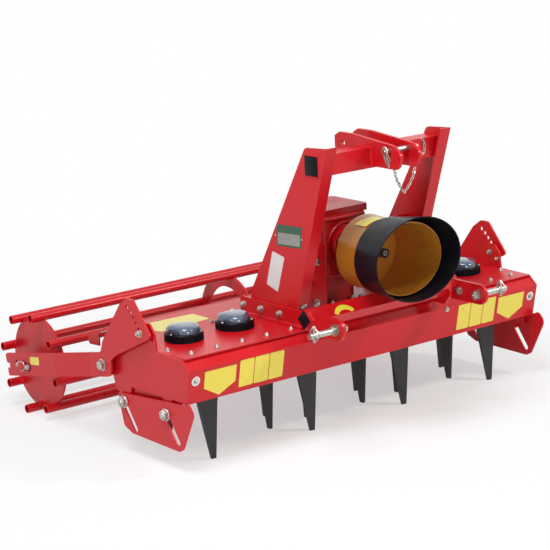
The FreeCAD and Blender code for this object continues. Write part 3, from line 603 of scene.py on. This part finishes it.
# %% Collars, split pins and bearing bolts
ends = bmesh.new()
for sign in (-1, 1):
    spot = at(sign * (ARM_REAR_X + 5), AXLE_Y, AXLE_Z)
    collar = cone(ends, 32, 19.5, 19.5, 7, facing(spot, (sign, 0, 0)))
    soften(ends, [e for e in edges_of(collar) if len(e.link_faces) == 2 and e.calc_face_angle(0) > 1], 1.2)
    pinned = at(sign * (ARM_REAR_X + 11), AXLE_Y, AXLE_Z)
    wire(ends, [pinned - Z * 0.021, pinned + Z * 0.021], 1.8, kind="POLY")
piece(ends, "axle_collars", ZINC, "roller")
for side, sign in (("left", -1), ("right", 1)):
    bolts("bearing_bolts_" + side, [(sign * ARM_REAR_X, AXLE_Y + reach, AXLE_Z) for reach in (-31, 31)],
          (sign, 0, 0), 10, "arms", stud=3)

# %% [markdown]
# ## Weld beads
# Plates are welded where they meet. A bead is a thin tube whose thickness ripples along its run,
# laid in the corner between two plates and painted with them.


# %% Beads as rippled tubes
def bead(bm, a, b, radius=3.2):
    count = max(2, int((b - a).length / 0.0045))
    curve, line = round_curve([a.lerp(b, k / count) for k in range(count + 1)], radius, 1, "POLY")
    for k in range(count + 1):
        line.points[k].radius = 1.0 + 0.16 * math.sin(k * 2.1) + 0.05 * math.sin(k * 0.7)
    add_curve(bm, curve)


# A run holds its x and then its corners as (y, z). Every run is drawn on both sides of the machine.
tube_low, tube_front = (BAR_Y, 415.6), (BAR_Y - BAR_HALF, BAR_Z)
runs = [(MAST_OUT, (92, DECK_Z), (339, DECK_Z)), (MAST_IN, (92, DECK_Z), (339, DECK_Z)),
        (MAST_OUT, (BEAM_FRONT, BEAM_LOW), (BEAM_REAR, BEAM_LOW)),
        (MAST_OUT, (BEAM_FRONT, BEAM_TOP), (BEAM_REAR, BEAM_TOP)),
        (MAST_OUT, (BEAM_FRONT, BEAM_LOW), (BEAM_FRONT, BEAM_TOP)),
        (MAST_OUT, (BEAM_REAR, BEAM_LOW), (BEAM_REAR, BEAM_TOP)),
        (MAST_IN, (120, 410), (120, 690)), (BRACKET_OUT, (40, DECK_Z), (385, DECK_Z)),
        (BRACKET_OUT, (BAR_Y + BAR_HALF, BAR_Z), tube_low, tube_front),
        (LUG_IN, (-51, 476), tube_front, tube_low), (LUG_OUT, (-51, 476), tube_front, tube_low)]
for x in (CLEVIS_IN, CLEVIS_OUT):
    runs += [(x, (BEAM_FRONT, BEAM_TOP), (BEAM_REAR, BEAM_TOP)),
             (x, (BEAM_FRONT, 935), (BEAM_FRONT, BEAM_TOP))]
beads = bmesh.new()
for s in (-1, 1):
    for x, *corners in runs:
        for a, b in zip(corners, corners[1:]):
            bead(beads, at(s * x, *a), at(s * x, *b))
    # The strut plate's lower edge lies across the platform.
    bead(beads, at(s * 112, 120, DECK_Z), at(s * 268, 120, DECK_Z))
piece(beads, "weld_beads", RED, smooth=60)

# %% Arcs where the roller's tubes pass its discs and ring
DISC_FACES, RING_FACES, FIRST_TUBE = (-767, -759, 759, 767), (96, 104), 33.95
caged = bmesh.new()
for k in range(8):
    a = math.radians(FIRST_TUBE + 45 * k)
    for x in DISC_FACES + RING_FACES:
        mid = at(x, AXLE_Y - CAGE_R * math.cos(a), AXLE_Z + CAGE_R * math.sin(a))
        inward = (at(x, AXLE_Y, AXLE_Z) - mid).normalized()
        across = inward.cross(X)
        arc = [mid + inward * (0.0165 * math.cos(t)) + across * (0.0165 * math.sin(t))
               for t in [math.radians(-62 + 15.5 * n) for n in range(9)]]
        wire(caged, arc, 2.4, sides=1)
piece(caged, "cage_welds", RED, "roller", smooth=60)

# %% [markdown]
# ## Blank stickers
# The machine carries yellow, white and dark foils. Here they are plain: a thin sheet with its own
# outline, lifted a fraction of a millimetre off the paint so that its edge catches the light.


# %% A sticker from its outline
def sticker(bm, outline, lift, thick=0.35, rounding=0.0):
    corners = [bm.verts.new(p) for p in outline]
    face = bm.faces.new(corners)
    face.normal_update()
    if face.normal.dot(lift) < 0:
        face.normal_flip()
    if rounding:
        bmesh.ops.bevel(bm, geom=corners, offset=rounding / 1000, offset_type="OFFSET", segments=4,
                        profile=0.5, affect="VERTICES", material=-1)
        bm.faces.ensure_lookup_table()
        face = bm.faces[-1]
    grown = bmesh.ops.extrude_face_region(bm, geom=[face])
    bmesh.ops.translate(bm, vec=lift.normalized() * (thick / 1000),
                        verts=[g for g in grown["geom"] if isinstance(g, bmesh.types.BMVert)])


def on_front(x, z, lift=0.5):
    """A place on the trough's leaning front wall, whose upper bend is 357 mm above the ground."""
    y = WALL_LEAN * (357 - z) / WALL_FALL
    return at(x, y - lift, z)


LEAN = Vector((0, -WALL_FALL, -WALL_LEAN)).normalized()

# %% Yellow signs on the trough, the lid and the roller arms
signs = bmesh.new()
for mirror in (1, -1):
    sticker(signs, [on_front(mirror * x, z) for x, z in
                    ((-733, 343), (-733, 284), (-668, 248), (-603, 284), (-603, 343))], LEAN)
    for k in range(3):
        a = -588 + 63 * k
        sticker(signs, [on_front(mirror * x, z) for x, z in
                        ((a, 352), (a, 256), (a + 60, 256), (a + 60, 352))], LEAN, rounding=5)
piece(signs, "yellow_signs_front", YELLOW)
rear_sign = bmesh.new()
for mirror in (1, -1):
    sticker(rear_sign, [at(mirror * x, y, LID_Z + 0.4) for x, y in
                        ((-599, 508), (-421, 500), (-418, 398), (-641, 376), (-668, 440))], Z)
piece(rear_sign, "yellow_signs_lid", YELLOW)
arm_sign = bmesh.new()
for sign in (-1, 1):
    sticker(arm_sign, [at(sign * (ARM_REAR_X + 0.4), y, z) for y, z in
                       ((882, 215), (944, 207), (944, 236), (882, 245))], X * sign, rounding=6)
piece(arm_sign, "yellow_sign_arms", YELLOW, "arms")

# %% A bent label on the bell
BELL_HALF, BELL_RISE, BELL_Z = 137.6, 128.5, 619  # the ellipse that the bell follows there
bell_sign = bmesh.new()
grid = []
for m in range(9):
    a = math.radians(90 + 4 * m)
    grid.append([bell_sign.verts.new(at(BELL_HALF * math.cos(a), y, BELL_Z + BELL_RISE * math.sin(a)))
                 for y in (-66 + 1.5 * m, -40 + 2 * m, -14 + 2.5 * m)])
for low, high in zip(grid, grid[1:]):
    for n in (0, 1):
        bell_sign.faces.new((low[n], low[n + 1], high[n + 1], high[n]))
bmesh.ops.solidify(bell_sign, geom=bell_sign.faces[:], thickness=0.0006)
piece(bell_sign, "pale_label_on_bell", YELLOW)

# %% Foils on the masts and the front wall
foils, panel, rivets = bmesh.new(), bmesh.new(), bmesh.new()
for sign in (-1, 1):
    for bm, lift, rounding, corners in (
            (foils, 0.3, 4, ((174, 740), (36, 747), (42, 671), (177, 665))),
            (panel, 0.7, 3, ((168, 712), (46, 718), (50, 677), (170, 672)))):
        sticker(bm, [at(sign * (MAST_OUT + lift), y, z) for y, z in corners], X * sign, rounding=rounding)
    for y, z in ((181, 700), (38, 704)):
        add_bolt(rivets, at(sign * MAST_OUT, y, z), (sign, 0, 0), 4, washer=False)
piece(foils, "data_foil", DATA)
piece(panel, "data_foil_panel", GREY)
piece(rivets, "data_foil_rivets", ZINC)
MARKER_X, MARKER_Z = 768, 318          # the round marker near each end of the front wall
pale = bmesh.new()
for sign in (-1, 1):
    sticker(pale, [at(sign * (MAST_OUT + 0.4), y, z) for y, z in
                   ((204, 641), (138, 628), (183, 499), (244, 518))], X * sign, rounding=4)
    up_wall = Vector((0, -WALL_LEAN, WALL_FALL)).normalized()
    sticker(pale, ring_points(on_front(sign * MARKER_X, MARKER_Z), X, up_wall, 17, 17, 28), LEAN)
piece(pale, "white_foils", PALE)


# %% The curved foil on the hitch tube, a band between two ellipses
ARC_X, ARC_DOWN = -193, 40             # the ellipses' middle: its x, and its fall from the tube's ridge


def sloped_arc(across, along, start, end, steps=10):
    """Places on the tube's sloping upper face, along part of an ellipse."""
    places = []
    for n in range(steps + 1):
        a = math.radians(start + (end - start) * n / steps)
        down = ARC_DOWN - along * math.sin(a)
        places.append(at(ARC_X + across * math.cos(a), BAR_Y - down, BAR_Z + BAR_HALF - down))
    return places


arc_foil = bmesh.new()
sticker(arc_foil, sloped_arc(46, 30, 160, 20) + sloped_arc(30, 16, 20, 160), Z - Y)
piece(arc_foil, "curved_foil", YELLOW)

# %% Bolts of the hitch lugs and the front wall
for side, sign in (("left", -1), ("right", 1)):
    bolts("lug_bolt_" + side, [(sign * LUG_IN, -92, 437)], (-sign, 0, 0), 14, stud=4)
dots = bmesh.new()
add_bolt(dots, on_front(341, 350, 0.0), LEAN, 9)
for sign in (-1, 1):
    add_bolt(dots, on_front(sign * MARKER_X, MARKER_Z, 1.0), LEAN, 8)
piece(dots, "front_wall_bolts", ZINC)

# %% [markdown]
# ## Floor and sizes
# A wide pale sheet takes the machine's shadow and turns white a little way from it. From below it
# is clear, so the underside of the machine can be looked at. Last, the floor's two sizes are printed.

# %% Floor
ground = bmesh.new()
bmesh.ops.create_grid(ground, x_segments=1, y_segments=1, size=30)
mesh = bpy.data.meshes.new("floor")
ground.to_mesh(mesh)
ground.free()
floor = bpy.data.objects.new("floor", mesh)
bpy.context.scene.collection.objects.link(floor)
paper = bpy.data.materials.new("pale_floor")
paper.use_nodes = True
tree = paper.node_tree
matt = tree.nodes["Principled BSDF"]
matt.inputs["Base Color"].default_value, matt.inputs["Roughness"].default_value = (0.9, 0.9, 0.9, 1), 0.95
matt.inputs["Specular IOR Level"].default_value = 0.1
glow, blend = tree.nodes.new("ShaderNodeEmission"), tree.nodes.new("ShaderNodeMixShader")
glow.inputs["Color"].default_value, glow.inputs["Strength"].default_value = (1, 1, 1, 1), 1.0
place, far = tree.nodes.new("ShaderNodeTexCoord"), tree.nodes.new("ShaderNodeVectorMath")
far.operation = "LENGTH"
tree.links.new(place.outputs["Object"], far.inputs[0])
fade = tree.nodes.new("ShaderNodeMapRange")
for socket, value in (("From Min", 0.5), ("From Max", 2.0), ("To Min", 0.5), ("To Max", 1.0)):
    fade.inputs[socket].default_value = value
tree.links.new(far.outputs["Value"], fade.inputs["Value"])
both = tree.nodes.new("ShaderNodeMath")
both.operation = "MULTIPLY"
tree.links.new(fade.outputs["Result"], both.inputs[0])
tree.links.new(shown_white(tree), both.inputs[1])
tree.links.new(both.outputs[0], blend.inputs[0])
tree.links.new(matt.outputs[0], blend.inputs[1])
tree.links.new(glow.outputs[0], blend.inputs[2])
seen_from, clear = tree.nodes.new("ShaderNodeNewGeometry"), tree.nodes.new("ShaderNodeBsdfTransparent")
pane = tree.nodes.new("ShaderNodeMixShader")
tree.links.new(seen_from.outputs["Backfacing"], pane.inputs[0])
tree.links.new(blend.outputs[0], pane.inputs[1])
tree.links.new(clear.outputs[0], pane.inputs[2])
tree.links.new(pane.outputs[0], tree.nodes["Material Output"].inputs["Surface"])
floor.data.materials.append(paper)
print("floor of", tuple(round(v, 1) for v in floor.dimensions[:2]), "m")
